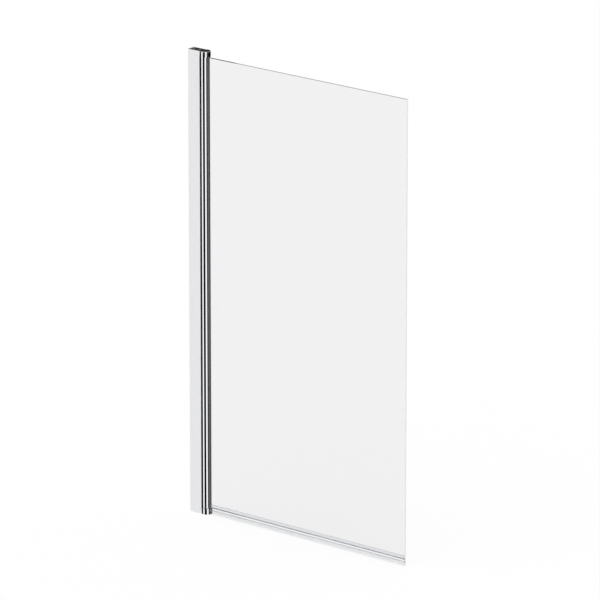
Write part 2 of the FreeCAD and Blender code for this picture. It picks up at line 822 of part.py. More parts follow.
# The clear seal: a clip on the glass's lower edge, and the soft fins that hang from it.
body = new_body("seal_clip")
sketch = new_sketch(body, "clip_section", "YZ_Plane", S.seal_start)
leg_in = half_glass + S.seal_play
leg_out = leg_in + S.seal_leg
web_low = S.glass_low - S.seal_play - S.seal_web
web_high = S.glass_low - S.seal_play
outline(
    sketch,
    (-leg_out, web_low),
    [
        (leg_out, web_low),
        (leg_out, S.seal_top - S.seal_lead),
        (leg_out - S.seal_lead, S.seal_top),
        (leg_in, S.seal_top),
        (leg_in, web_high),
        (-leg_in, web_high),
        (-leg_in, S.seal_top),
        (-leg_out + S.seal_lead, S.seal_top),
        (-leg_out, S.seal_top - S.seal_lead),
        (-leg_out, web_low),
    ],
)
pad(body, sketch, S.seal_stop - S.seal_start)

body = new_body("seal_fin")
sketch = new_sketch(body, "fin_section", "YZ_Plane", S.seal_start)
fin_out = S.rail_half + S.fin_spread
outline(
    sketch,
    (-S.stem_half, web_low),
    [
        (-S.stem_half, S.rail_high),
        (-S.rail_half, S.rail_high),
        (-fin_out, S.fin_low),
        (-fin_out + S.fin_thick, S.fin_low),
        (-S.rail_half + S.fin_thick, S.rail_low),
        (S.rail_half - S.fin_thick, S.rail_low),
        (fin_out - S.fin_thick, S.fin_low),
        (fin_out, S.fin_low),
        (S.rail_half, S.rail_high),
        (S.stem_half, S.rail_high),
        (S.stem_half, web_low),
        (-S.stem_half, web_low),
    ],
)
pad(body, sketch, S.seal_stop - S.seal_start)

# ---------------------------------------------------------------- check and write
doc.recompute()
for item in doc.Objects:
    if any(word in item.State for word in ("Invalid", "Error")):
        raise RuntimeError(f"{item.Label} is {item.State}")
for node in NODES:
    if node.Shape.isNull() or not node.Shape.isValid():
        raise RuntimeError(f"{node.Label} has no valid shape")
for node in NODES:
    node.Shape.exportStep(f"parts/{node.Label}.step")
    bounds = node.Shape.BoundBox
    print(
        f"{node.Label:22s} solids {len(node.Shape.Solids)} volume {node.Shape.Volume:12.1f}"
        f" x {bounds.XMin:7.2f} {bounds.XMax:7.2f} y {bounds.YMin:7.2f} {bounds.YMax:7.2f}"
        f" z {bounds.ZMin:8.2f} {bounds.ZMax:8.2f}"
    )
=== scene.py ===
"""Pivoting bath screen: bright metal, clear glass and seals, in a plain white studio.

Lengths are in metres. X runs from the wall along the glass, Y through the glass and Z up.
"""

import json
import math

import bmesh
import bpy
from bpy.props import FloatProperty, FloatVectorProperty, PointerProperty
from mathutils import Matrix, Vector

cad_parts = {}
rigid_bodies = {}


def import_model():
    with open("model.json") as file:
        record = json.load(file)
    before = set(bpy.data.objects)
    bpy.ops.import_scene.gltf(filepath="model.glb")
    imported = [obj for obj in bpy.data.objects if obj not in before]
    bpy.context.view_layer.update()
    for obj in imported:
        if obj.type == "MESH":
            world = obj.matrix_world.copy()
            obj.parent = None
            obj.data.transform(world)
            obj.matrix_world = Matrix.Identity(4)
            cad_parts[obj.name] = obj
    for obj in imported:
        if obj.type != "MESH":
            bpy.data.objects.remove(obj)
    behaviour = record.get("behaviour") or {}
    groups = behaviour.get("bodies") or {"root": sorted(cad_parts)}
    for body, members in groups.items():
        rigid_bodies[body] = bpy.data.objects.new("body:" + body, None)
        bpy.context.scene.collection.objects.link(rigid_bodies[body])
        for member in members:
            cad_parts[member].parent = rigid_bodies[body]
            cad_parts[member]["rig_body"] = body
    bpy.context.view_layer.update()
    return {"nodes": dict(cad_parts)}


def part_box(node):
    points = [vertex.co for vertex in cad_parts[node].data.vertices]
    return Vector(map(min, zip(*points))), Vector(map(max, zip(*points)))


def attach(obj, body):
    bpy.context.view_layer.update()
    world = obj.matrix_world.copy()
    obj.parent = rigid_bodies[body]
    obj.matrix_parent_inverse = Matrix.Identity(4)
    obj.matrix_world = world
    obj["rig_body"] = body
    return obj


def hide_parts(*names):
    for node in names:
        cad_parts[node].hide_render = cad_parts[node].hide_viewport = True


bl_info = {
    "name": "Bath Screen",
    "version": (1, 0, 0),
    "blender": (4, 5, 0),
    "location": "3D View > Sidebar > Bath Screen",
    "description": "Dresses the bath screen's frame in metal, glass, rubber and clear seals",
    "category": "Add Mesh",
}

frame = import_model()

MM = 0.001

# a mesh is shaded smooth across edges that bend less than this
SMOOTH_ANGLE = math.radians(32)
# corners of an extrusion that bend more than this are broken
CORNER_ANGLE = math.radians(50)
# faces that bend less than this are joined
FLAT_ANGLE = math.radians(0.5)
# points of a section nearer than this are one
MERGE = 0.001 * MM
# painted shade: the channel's lip darkens from the first to the second of these distances inside
# its mouth
LIP_SHADOW = (0.25 * MM, 0.1 * MM)
# the painted reflection of the tube, a dark stretch on the glass's level edges, ends between these
# distances from the wall
TUBE_REFLECTION_END = (0.163, 0.178)
# what mirrored rays see, in degrees round from the camera, plus to its right
LOW_PANELS = ((-48, 0.5), (-130, -82))
UPRIGHTS = ((-30, -15), (-115, -100), (60, 75), (155, 170))


# ------------------------------------------------------------------ settings


class ScreenSizes(bpy.types.PropertyGroup):
    """Sizes that shape the modelled pieces."""

    metal_edge: FloatProperty(
        name="Metal Edge",
        description="Radius of the broken edges of the extruded metal",
        default=0.3 * MM,
        unit="LENGTH",
        precision=5,
    )
    glass_arris: FloatProperty(
        name="Glass Arris",
        description="Width of the ground arris round the glass",
        default=0.6 * MM,
        unit="LENGTH",
        precision=5,
    )
    tube_wall: FloatProperty(
        name="Tube Wall",
        description="Wall of the round pivot tube",
        default=1.5 * MM,
        unit="LENGTH",
        precision=5,
    )
    slot_half: FloatProperty(
        name="Slot Half Width",
        description="Half the width of the tube's glazing slot",
        default=4.2 * MM,
        unit="LENGTH",
        precision=5,
    )
    slot_wall: FloatProperty(
        name="Slot Wall",
        description="Side walls of the glazing slot inside the tube",
        default=1.4 * MM,
        unit="LENGTH",
        precision=5,
    )
    slot_floor: FloatProperty(
        name="Slot Floor",
        description="Floor of the glazing slot inside the tube",
        default=1.2 * MM,
        unit="LENGTH",
        precision=5,
    )
    port_outer: FloatProperty(
        name="Port Radius",
        description="Outside of the tube's central port",
        default=4.5 * MM,
        unit="LENGTH",
        precision=5,
    )
    seal_leg: FloatProperty(
        name="Seal Leg",
        description="Legs of the bottom seal, each side of the glass",
        default=1.0 * MM,
        unit="LENGTH",
        precision=5,
    )
    seal_web: FloatProperty(
        name="Seal Web",
        description="Web of the bottom seal, under the glass",
        default=1.2 * MM,
        unit="LENGTH",
        precision=5,
    )
    seal_stem: FloatProperty(
        name="Seal Stem",
        description="Half the stem between the web and the drip rail",
        default=0.8 * MM,
        unit="LENGTH",
        precision=5,
    )
    rail_low: FloatProperty(
        name="Rail Height",
        description="Underside of the seal's drip rail",
        default=11.3 * MM,
        unit="LENGTH",
        precision=5,
    )
    rail_half: FloatProperty(
        name="Rail Half Width",
        description="Half the width of the drip rail",
        default=3.4 * MM,
        unit="LENGTH",
        precision=5,
    )
    fin: FloatProperty(
        name="Fin",
        description="Thickness of the soft fins",
        default=0.8 * MM,
        unit="LENGTH",
        precision=5,
    )


class ScreenColours(bpy.types.PropertyGroup):
    """Colours of the finishes."""

    aluminium: FloatVectorProperty(
        name="Aluminium",
        description="Bright dipped tube",
        default=(0.96, 0.96, 0.97),
        subtype="COLOR",
        min=0,
        max=1,
    )
    satin: FloatVectorProperty(
        name="Satin",
        description="Satin anodised channel and post",
        default=(0.98, 0.985, 1.0),
        subtype="COLOR",
        min=0,
        max=1,
    )
    chrome: FloatVectorProperty(
        name="Chrome",
        description="Polished chrome of the caps",
        default=(0.88, 0.885, 0.895),
        subtype="COLOR",
        min=0,
        max=1,
    )
    steel: FloatVectorProperty(
        name="Steel",
        description="Stainless screws, nuts and pins",
        default=(0.60, 0.60, 0.62),
        subtype="COLOR",
        min=0,
        max=1,
    )
    nylon: FloatVectorProperty(
        name="Nylon",
        description="Bushes, plugs and setting blocks",
        default=(0.78, 0.78, 0.75),
        subtype="COLOR",
        min=0,
        max=1,
    )
    rubber: FloatVectorProperty(
        name="Rubber",
        description="Wipers",
        default=(0.018, 0.018, 0.019),
        subtype="COLOR",
        min=0,
        max=1,
    )
    gasket: FloatVectorProperty(
        name="Gasket",
        description="Glazing strips each side of the glass",
        default=(0.088, 0.088, 0.092),
        subtype="COLOR",
        min=0,
        max=1,
    )
    glass: FloatVectorProperty(
        name="Glass",
        description="What the glass lets through",
        default=(0.875, 0.875, 0.885),
        subtype="COLOR",
        min=0,
        max=1,
    )
    glass_rim: FloatVectorProperty(
        name="Glass Rim",
        description="The upright edges of the glass, polished",
        default=(0.96, 0.96, 0.975),
        subtype="COLOR",
        min=0,
        max=1,
    )
    glass_body: FloatVectorProperty(
        name="Glass Body",
        description="The body colour that the glass's level edges show",
        default=(0.42, 0.43, 0.45),
        subtype="COLOR",
        min=0,
        max=1,
    )
    seal: FloatVectorProperty(
        name="Seal",
        description="Clear vinyl clip under the glass",
        default=(0.94, 0.945, 0.96),
        subtype="COLOR",
        min=0,
        max=1,
    )
    fins: FloatVectorProperty(
        name="Fins",
        description="Softer, cloudier vinyl of the fins",
        default=(0.905, 0.91, 0.92),
        subtype="COLOR",
        min=0,
        max=1,
    )


class StudioSettings(bpy.types.PropertyGroup):
    """Camera, floor and surround."""

    azimuth: FloatProperty(
        name="Azimuth",
        description="Camera's turn about the screen; zero looks along +Y",
        default=math.radians(39.775),
        subtype="ANGLE",
    )
    elevation: FloatProperty(
        name="Elevation",
        description="Camera's height above the horizon",
        default=math.radians(16.634),
        subtype="ANGLE",
    )
    distance: FloatProperty(
        name="Distance",
        description="Camera to the point that it looks at",
        default=18.610,
        unit="LENGTH",
    )
    lens: FloatProperty(
        name="Lens",
        description="Focal length on a 36 mm wide sensor",
        default=389.22,
    )
    look_at: FloatVectorProperty(
        name="Look At",
        description="Point at the middle of the picture",
        default=(0.40808, 0.0, 0.72038),
        subtype="TRANSLATION",
        unit="LENGTH",
        precision=5,
    )
    room_light: FloatProperty(
        name="Room Light",
        description="Strength of the even light from all round",
        default=0.84,
        min=0,
    )
    key_light: FloatProperty(
        name="Key Light",
        description="Strength of the broad soft lamp",
        default=0.75,
        min=0,
    )
    floor: FloatVectorProperty(
        name="Floor",
        description="Colour of the floor",
        default=(0.96, 0.96, 0.96),
        subtype="COLOR",
        min=0,
        max=1,
    )


# ------------------------------------------------------------------ node trees


class Wire:
    """One output of a node. Arithmetic on it adds Math nodes to the same tree."""

    def __init__(self, tree, node, output):
        self.tree = tree
        self.node = node
        self.socket = node.outputs[output]

    def out(self, name):
        """Another output of the same node."""
        return Wire(self.tree, self.node, name)

    def maths(self, operation, first, second):
        return self.tree.add("ShaderNodeMath", {"operation": operation}, {0: first, 1: second})

    def __add__(self, other):
        return self.maths("ADD", self, other)

    def __radd__(self, other):
        return self.maths("ADD", other, self)

    def __sub__(self, other):
        return self.maths("SUBTRACT", self, other)

    def __rsub__(self, other):
        return self.maths("SUBTRACT", other, self)

    def __mul__(self, other):
        return self.maths("MULTIPLY", self, other)

    def __rmul__(self, other):
        return self.maths("MULTIPLY", other, self)


class Tree:
    """The node tree of a material or of the world."""

    def __init__(self, owner):
        owner.use_nodes = True
        self.tree = owner.node_tree
        self.tree.nodes.clear()

    def add(self, kind, settings=None, inputs=None, output=0):
        """A new node: its settings first, then its sockets' values or links."""
        node = self.tree.nodes.new(kind)
        for name, value in (settings or {}).items():
            setattr(node, name, value)
        for name, value in (inputs or {}).items():
            if isinstance(value, Wire):
                self.tree.links.new(value.socket, node.inputs[name])
            else:
                node.inputs[name].default_value = value
        return Wire(self, node, output) if len(node.outputs) else None

    def place(self, scale=(1, 1, 1)):
        """Object coordinates, stretched."""
        point = self.add("ShaderNodeTexCoord", output="Object")
        return self.add("ShaderNodeMapping", None, {"Vector": point, "Scale": scale})

    def noise(self, scale, detail=2.0, stretch=(1, 1, 1)):
        """Soft noise from 0 to 1, about a half on average."""
        sockets = {"Vector": self.place(stretch), "Scale": scale, "Detail": detail}
        return self.add("ShaderNodeTexNoise", None, sockets, "Fac")

    def blend(self, factor, first, second):
        """A colour between two colours."""
        settings = {"data_type": "RGBA"}
        return self.add("ShaderNodeMix", settings, {0: factor, 6: first, 7: second}, 2)

    def step(self, value, low, high):
        """Rises smoothly from 0 at low to 1 at high."""
        settings = {"interpolation_type": "SMOOTHSTEP"}
        sockets = {"Value": value, "From Min": low, "From Max": high}
        return self.add("ShaderNodeMapRange", settings, sockets)

    def bump(self, height, strength, distance):
        sockets = {"Height": height, "Strength": strength, "Distance": distance}
        return self.add("ShaderNodeBump", None, sockets)


def shaded(colour, factor):
    """The colour, darker or lighter, with full alpha."""
    return tuple(channel * factor for channel in colour) + (1.0,)


def surface(name, inputs, build):
    """A Principled material. build gives the sockets that vary over the surface."""
    material = bpy.data.materials.new(name)
    tree = Tree(material)
    shader = tree.add("ShaderNodeBsdfPrincipled", None, {**inputs, **build(tree)})
    tree.add("ShaderNodeOutputMaterial", None, {"Surface": shader})
    return material


def from_wall(tree):
    """A point's distance from the wall, in metres."""
    return tree.add("ShaderNodeSeparateXYZ", None, {"Vector": tree.place()}, "X")


def extruded_aluminium(name, colour, gloss, spread, painted_shade_mouth=None):
    """Extruded aluminium: faint die lines run up it, and its tone drifts a little."""

    def build(tree):
        lines = tree.noise(1.0, 3.0, (1400, 1400, 3))
        drift = tree.noise(3.0, 2.0)
        tone = tree.blend(lines * 0.6 + drift * 0.4, shaded(colour, 0.96), shaded(colour, 1.03))
        # painted shade: the channel's lip, just inside its mouth, is darkened as a shadow line
        # beside the post
        if painted_shade_mouth:
            low, high = (painted_shade_mouth - inside for inside in LIP_SHADOW)
            tone = tree.blend(tree.step(from_wall(tree), low, high), tone, shaded(colour, 0.06))
        return {
            "Base Color": tone,
            "Roughness": lines * spread + gloss,
            "Normal": tree.bump(lines, 0.01, 0.00002),
        }

    return surface(name, {"Metallic": 1.0}, build)


def dipped_aluminium(colours):
    """The round tube and the sawn ends, which mirror."""
    return extruded_aluminium("dipped_aluminium", colours.aluminium, 0.01, 0.03)


def satin_aluminium_lip_shade(colours):
    """The channel and the post, anodised to a soft sheen. The channel's lip has painted shade."""
    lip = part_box("wall_channel")[1].x
    return extruded_aluminium("satin_aluminium_lip_shade", colours.satin, 0.42, 0.08, lip)


def polished_chrome(colours):
    """Chrome plate over a casting, with the slightest waviness."""

    def build(tree):
        waves = tree.noise(120.0, 2.0)
        cloud = tree.noise(35.0, 3.0)
        tone = tree.blend(cloud, shaded(colours.chrome, 0.97), shaded(colours.chrome, 1.02))
        return {
            "Base Color": tone,
            "Roughness": cloud * 0.04 + 0.03,
            "Normal": tree.bump(waves, 0.03, 0.0002),
        }

    return surface("polished_chrome", {"Metallic": 1.0}, build)


def turned_steel(colours):
    """Stainless steel with fine turning marks."""

    def build(tree):
        marks = tree.noise(1.0, 4.0, (3000, 3000, 9000))
        tone = tree.blend(marks, shaded(colours.steel, 0.85), shaded(colours.steel, 1.1))
        return {
            "Base Color": tone,
            "Roughness": marks * 0.2 + 0.18,
            "Normal": tree.bump(marks, 0.15, 0.00005),
        }

    return surface("turned_steel", {"Metallic": 1.0}, build)


def moulded_nylon(colours):
    """Natural nylon with a fine moulded grain."""

    def build(tree):
        grain = tree.noise(900.0, 3.0)
        cloud = tree.noise(60.0)
        tone = tree.blend(cloud, shaded(colours.nylon, 0.94), shaded(colours.nylon, 1.04))
        return {
            "Base Color": tone,
            "Roughness": grain * 0.2 + 0.38,
            "Normal": tree.bump(grain, 0.2, 0.0001),
        }

    return surface("moulded_nylon", {}, build)


def extruded_rubber(name, colour):
    """Extruded rubber: matt, with faint lines along it and a patchy bloom."""

    def build(tree):
        lines = tree.noise(1.0, 3.0, (1500, 1500, 20))
        bloom = tree.noise(70.0, 3.0)
        tone = tree.blend(bloom, shaded(colour, 0.8), shaded(colour, 1.25))
        return {
            "Base Color": tone,
            "Roughness": lines * 0.25 + 0.45,
            "Normal": tree.bump(lines, 0.3, 0.0001),
        }

    return surface(name, {}, build)


def wiper_rubber(colours):
    return extruded_rubber("wiper_rubber", colours.rubber)


def gasket_rubber(colours):
    return extruded_rubber("gasket_rubber", colours.gasket)


def float_glass(colours):
    """Clear float glass, with a tint that hardly varies."""

    def build(tree):
        drift = tree.noise(2.0, 1.0)
        tone = tree.blend(drift, shaded(colours.glass, 0.995), shaded(colours.glass, 1.005))
        return {"Base Color": tone}

    sockets = {"Transmission Weight": 1.0, "Roughness": 0.0, "IOR": 1.5}
    return surface("float_glass", sockets, build)


def polished_rim(colours):
    """The glass's upright edges, polished and pale."""

    def build(tree):
        grind = tree.noise(1.0, 2.0, (600, 600, 25))
        tone = tree.blend(grind, shaded(colours.glass_rim, 0.97), shaded(colours.glass_rim, 1.03))
        return {"Base Color": tone, "Roughness": grind * 0.15 + 0.2}

    return surface("polished_rim", {"Transmission Weight": 0.1, "IOR": 1.5}, build)


def ground_rim_tube_reflection(colours):
    """The glass's level edges, in its body colour, smoother near the tube, where a dark reflection
    of the tube is painted on them.
    """

    def build(tree):
        grind = tree.noise(1.0, 2.0, (40, 600, 40))
        tone = tree.blend(grind, shaded(colours.glass_body, 0.9), shaded(colours.glass_body, 1.1))
        # painted reflection: near the tube the edges are darkened as if they mirror it
        past_tube_reflection = tree.step(from_wall(tree), *TUBE_REFLECTION_END)
        return {
            "Base Color": tree.blend(past_tube_reflection, shaded(colours.glass_body, 0.05), tone),
            "Roughness": grind * 0.15 + past_tube_reflection * 0.17 + 0.03,
        }

    return surface("ground_rim_tube_reflection", {"IOR": 1.5}, build)


def soft_vinyl(name, colour, cloud):
    """Clear soft plastic, more or less cloudy, with lines left by the die."""

    def build(tree):
        lines = tree.noise(1.0, 2.0, (4, 1500, 1500))
        return {
            "Base Color": tree.blend(lines, shaded(colour, 0.97), shaded(colour, 1.02)),
            "Roughness": lines * cloud + cloud / 2,
            "Normal": tree.bump(lines, 0.1, 0.0001),
        }

    return surface(name, {"Transmission Weight": 1.0, "IOR": 1.4}, build)


def clip_vinyl(colours):
    return soft_vinyl("clip_vinyl", colours.seal, 0.05)


def fin_vinyl(colours):
    return soft_vinyl("fin_vinyl", colours.fins, 0.15)


FINISHES = {
    make.__name__: make
    for make in (
        dipped_aluminium,
        satin_aluminium_lip_shade,
        polished_chrome,
        turned_steel,
        moulded_nylon,
        wiper_rubber,
        gasket_rubber,
        float_glass,
        polished_rim,
        ground_rim_tube_reflection,
        clip_vinyl,
        fin_vinyl,
    )
}


def finish(name):
    """The material of that name, made when it is first asked for."""
    made = bpy.data.materials.get(name)
    return made or FINISHES[name](bpy.context.scene.screen_colours)


# ------------------------------------------------------------------ mesh helpers


def to_piece(bm, name, materials):
    """A new object at the origin with this mesh, shaded smooth across shallow angles."""
    mesh = bpy.data.meshes.new(name)
    bm.to_mesh(mesh)
    bm.free()
    mesh.shade_smooth()
    mesh.set_sharp_from_angle(angle=SMOOTH_ANGLE)
    for material in materials:
        mesh.materials.append(finish(material))
    piece = bpy.data.objects.new(name, mesh)
    bpy.context.scene.collection.objects.link(piece)
    return piece


def stand_in(piece, node):
    """piece takes a node's place on the node's own body."""
    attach(piece, frame["nodes"][node]["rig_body"])
    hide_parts(node)
    return piece


def break_edges(bm, edges, width):
    """Round edges off in three steps."""
    bmesh.ops.bevel(
        bm,
        geom=edges,
        offset=width,
        offset_type="OFFSET",
        segments=3,
        profile=0.5,
        affect="EDGES",
        material=-1,
        clamp_overlap=False,
    )


def keep_flats(piece):
    """Shade the large faces flat right up to the rounded edges."""
    weighted = piece.modifiers.new("flat_faces", "WEIGHTED_NORMAL")
    weighted.weight = 100
    weighted.keep_sharp = True
    return piece


def softened_extrusion(node, name, width):
    """A copy of an upright extrusion with its long edges broken and its sawn ends bright."""
    low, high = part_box(node)
    bm = bmesh.new()
    bm.from_mesh(frame["nodes"][node].data)
    bmesh.ops.remove_doubles(bm, verts=bm.verts, dist=2 * MERGE)
    bmesh.ops.dissolve_limit(bm, angle_limit=FLAT_ANGLE, verts=bm.verts, edges=bm.edges)
    nearly_full = (high.z - low.z) * 0.99
    uprights = [edge for edge in bm.edges if edge.calc_length() > nearly_full]
    corners = [edge for edge in uprights if edge.calc_face_angle(0) > CORNER_ANGLE]
    break_edges(bm, corners, width)
    for face in bm.faces:
        sawn = abs(face.normal.z) > 0.9
        face.material_index = 1 if sawn else 0
    piece = to_piece(bm, name, ["satin_aluminium_lip_shade", "dipped_aluminium"])
    return stand_in(keep_flats(piece), node)


def dress(material, *nodes):
    """Give CAD nodes a finish."""
    for node in nodes:
        for slot in frame["nodes"][node].material_slots:
            slot.material = finish(material)


def only(kind, geometry):
    """The items of one kind in what a bmesh operator returns."""
    return [item for item in geometry if isinstance(item, kind)]


class Outline:
    """A closed line in the XY plane, drawn with straight runs and arcs."""

    def __init__(self, bm, x, y, z=0.0):
        self.bm = bm
        self.first = self.last = bm.verts.new((x, y, z))

    def line(self, x, y):
        point = self.bm.verts.new((x, y, self.last.co.z))
        self.bm.edges.new((self.last, point))
        self.last = point

    def arc(self, centre_x, centre_y, angle, steps):
        """Turn the last point about a centre; a positive angle turns anticlockwise."""
        spun = bmesh.ops.spin(
            self.bm,
            geom=[self.last],
            cent=(centre_x, centre_y, self.last.co.z),
            axis=(0, 0, 1),
            angle=angle,
            steps=steps,
            use_duplicate=False,
        )
        self.last = only(bmesh.types.BMVert, spun["geom_last"])[0]

    def close(self):
        self.bm.edges.new((self.last, self.first))


def extrude_section(bm, offset):
    """Fill the outlines, holes left open, and draw the face out to a closed solid."""
    bmesh.ops.remove_doubles(bm, verts=bm.verts, dist=MERGE)
    filled = bmesh.ops.triangle_fill(bm, use_beauty=True, use_dissolve=True, edges=bm.edges)
    drawn = bmesh.ops.extrude_face_region(bm, geom=only(bmesh.types.BMFace, filled["geom"]))
    bmesh.ops.translate(bm, verts=only(bmesh.types.BMVert, drawn["geom"]), vec=offset)
    bmesh.ops.recalc_face_normals(bm, faces=bm.faces)


def lay_along(bm, start):
    """Turn a section drawn in XY and extruded up so that it runs along X from start."""
    turned = Matrix(((0, 0, 1, start), (1, 0, 0, 0), (0, 1, 0, 0), (0, 0, 0, 1)))
    bmesh.ops.transform(bm, matrix=turned, verts=bm.verts)


# ------------------------------------------------------------------ pieces


class SCREEN_OT_wall_channel(bpy.types.Operator):
    """Extruded wall channel, with its long edges broken"""

    bl_idname = "screen.wall_channel"
    bl_label = "Wall Channel"

    def execute(self, context):
        edge = context.scene.screen_sizes.metal_edge
        softened_extrusion("wall_channel", "channel_extrusion", edge)
        return {"FINISHED"}


class SCREEN_OT_hinge_post(bpy.types.Operator):
    """Extruded hinge post, with its long edges broken"""

    bl_idname = "screen.hinge_post"
    bl_label = "Hinge Post"

    def execute(self, context):
        edge = context.scene.screen_sizes.metal_edge
        softened_extrusion("hinge_post", "post_extrusion", edge)
        return {"FINISHED"}


class SCREEN_OT_caps(bpy.types.Operator):
    """Chromed caps over the post and the tube"""

    bl_idname = "screen.caps"
    bl_label = "Caps"

    def execute(self, context):
        dress("polished_chrome", "top_cap", "bottom_cap")
        return {"FINISHED"}


class SCREEN_OT_pivot_tube(bpy.types.Operator):
    """Round pivot tube with its glazing slot and central port"""

    bl_idname = "screen.pivot_tube"
    bl_label = "Pivot Tube"

    def execute(self, context):
        sizes = context.scene.screen_sizes
        low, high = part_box("pivot_tube")
        bush_low, bush_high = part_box("bottom_bush")
        axis = (bush_low.x + bush_high.x) / 2
        radius = axis - low.x
        hollow = radius - sizes.tube_wall
        bore = (bush_high.x - bush_low.x) / 2
        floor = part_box("setting_blocks")[0].x
        back = floor - sizes.slot_floor
        bm = bmesh.new()
        # the outside, and the slot
        lip = math.asin(sizes.slot_half / radius)
        outside = Outline(bm, axis + radius * math.cos(lip), sizes.slot_half, low.z)
        outside.arc(axis, 0, 2 * (math.pi - lip), 120)
        outside.line(floor, -sizes.slot_half)
        outside.line(floor, sizes.slot_half)
        outside.close()
        # the hollow round the slot's walls and the port
        wall = sizes.slot_half + sizes.slot_wall
        turn = math.asin(wall / hollow)
        port_turn = math.acos((back - axis) / sizes.port_outer)
        inside = Outline(bm, axis + hollow * math.cos(turn), wall, low.z)
        inside.arc(axis, 0, 2 * (math.pi - turn), 96)
        inside.line(back, -wall)
        inside.line(back, -sizes.port_outer * math.sin(port_turn))
        inside.arc(axis, 0, -2 * (math.pi - port_turn), 36)
        inside.line(back, wall)
        inside.close()
        # the port's bore
        ring = bmesh.ops.create_circle(bm, segments=48, radius=bore)
        bmesh.ops.translate(bm, verts=ring["verts"], vec=(axis, 0, low.z))
        extrude_section(bm, (0, 0, high.z - low.z))
        piece = to_piece(bm, "pivot_tube_extrusion", ["dipped_aluminium"])
        stand_in(keep_flats(piece), "pivot_tube")
        return {"FINISHED"}


class SCREEN_OT_glass(bpy.types.Operator):
    """Sheet of clear glass with an arris all round, polished uprights and ground level edges"""

    bl_idname = "screen.glass"
    bl_label = "Glass"

    def execute(self, context):
        low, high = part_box("glass_panel")
        size = high - low
        bm = bmesh.new()
        bmesh.ops.create_cube(bm, size=1.0)
        bmesh.ops.scale(bm, verts=bm.verts, vec=size)
        bmesh.ops.translate(bm, verts=bm.verts, vec=(low + high) / 2)
        faces = [face for face in bm.faces if abs(face.normal.y) > 0.5]
        rims = [edge for edge in bm.edges if any(face in faces for face in edge.link_faces)]
        bmesh.ops.bevel(
            bm,
            geom=rims,
            offset=context.scene.screen_sizes.glass_arris,
            offset_type="OFFSET",
            segments=1,
            profile=0.5,
            affect="EDGES",
            material=-1,
        )
        for face in bm.faces:
            side = abs(face.normal.y) > 0.99
            upright = abs(face.normal.x) > abs(face.normal.z)
            face.material_index = 0 if side else 1 if upright else 2
        piece = to_piece(bm, "glass_sheet", ["float_glass", "polished_rim", "ground_rim_tube_reflection"])
        stand_in(piece, "glass_panel")
        return {"FINISHED"}


class SCREEN_OT_rubbers(bpy.types.Operator):
    """Glazing strips and wipers"""

    bl_idname = "screen.rubbers"
    bl_label = "Rubbers"

    def execute(self, context):
        dress("gasket_rubber", "front_glazing_strip", "rear_glazing_strip")
        dress("wiper_rubber", "front_wiper", "rear_wiper")
        return {"FINISHED"}


class SCREEN_OT_seal_clip(bpy.types.Operator):
    """Clear clip that grips the glass's lower edge, with rounded legs"""

    bl_idname = "screen.seal_clip"
    bl_label = "Seal Clip"

    def execute(self, context):
        sizes = context.scene.screen_sizes
        low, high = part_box("seal_clip")
        outer, leg = high.y, sizes.seal_leg
        inner = outer - leg
        floor = low.z + sizes.seal_web
        turn = math.pi / 2
        bm = bmesh.new()
        section = Outline(bm, -outer + leg, low.z)
        section.line(outer - leg, low.z)
        section.arc(outer - leg, low.z + leg, turn, 6)
        section.line(outer, high.z - leg / 2)
        section.arc(outer - leg / 2, high.z - leg / 2, 2 * turn, 10)
        section.line(inner, floor)
        section.line(-inner, floor)
        section.line(-inner, high.z - leg / 2)
        section.arc(-outer + leg / 2, high.z - leg / 2, 2 * turn, 10)
        section.line(-outer, low.z + leg)
        section.arc(-outer + leg, low.z + leg, turn, 6)
        section.close()
        extrude_section(bm, (0, 0, high.x - low.x))
        lay_along(bm, low.x)
        stand_in(to_piece(bm, "seal_clip_extrusion", ["clip_vinyl"]), "seal_clip")
        return {"FINISHED"}


class SCREEN_OT_seal_fin(bpy.types.Operator):
    """Soft drip rail with two fins that flare to the bath's rim"""

    bl_idname = "screen.seal_fin"
    bl_label = "Seal Fin"

    def execute(self, context):
        sizes = context.scene.screen_sizes
        low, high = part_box("seal_fin")
        fin, rail, stem = sizes.fin, sizes.rail_half, sizes.seal_stem
        edge = fin / 2
        # the rail is half as thick again as the fins
        top = sizes.rail_low + 1.5 * fin
        # each fin leaves the rail upright and curves out as it falls
        drop = sizes.rail_low - low.z - edge
        spread = high.y - rail
        turn = 2 * math.atan(spread / drop)
        bend = drop / math.sin(turn)
        tip = math.pi
        bm = bmesh.new()
        section = Outline(bm, -stem, high.z)
        section.line(stem, high.z)
        section.line(stem, top)
        section.line(rail - edge, top)
        section.arc(rail - edge, top - edge, -tip / 2, 6)
        section.line(rail, sizes.rail_low)
        section.arc(rail + bend, sizes.rail_low, turn, 16)
        section.arc(rail + bend - (bend + edge) * math.cos(turn), low.z + edge, -tip, 8)
        section.arc(rail + bend, sizes.rail_low, -turn, 16)
        section.line(fin - rail, sizes.rail_low)
        section.arc(-rail - bend, sizes.rail_low, -turn, 16)
        section.arc((bend + edge) * math.cos(turn) - rail - bend, low.z + edge, -tip, 8)
        section.arc(-rail - bend, sizes.rail_low, turn, 16)
        section.line(-rail, top - edge)
        section.arc(edge - rail, top - edge, -tip / 2, 6)
        section.line(-stem, top)
        section.close()
        extrude_section(bm, (0, 0, high.x - low.x))
        lay_along(bm, low.x)
        stand_in(to_piece(bm, "seal_fin_extrusion", ["fin_vinyl"]), "seal_fin")
        return {"FINISHED"}


class SCREEN_OT_fixings(bpy.types.Operator):
    """Screws, washers, nuts, pins and their covers"""

    bl_idname = "screen.fixings"
    bl_label = "Fixings"

    def execute(self, context):
        dress("turned_steel", "clamp_screws", "clamp_washers", "clamp_nuts")
        dress("turned_steel", "top_cap_screws", "bottom_cap_screws")
        dress("turned_steel", "top_pivot_pin", "bottom_pivot_pin")
        dress("polished_chrome", "clamp_screw_covers")
        return {"FINISHED"}


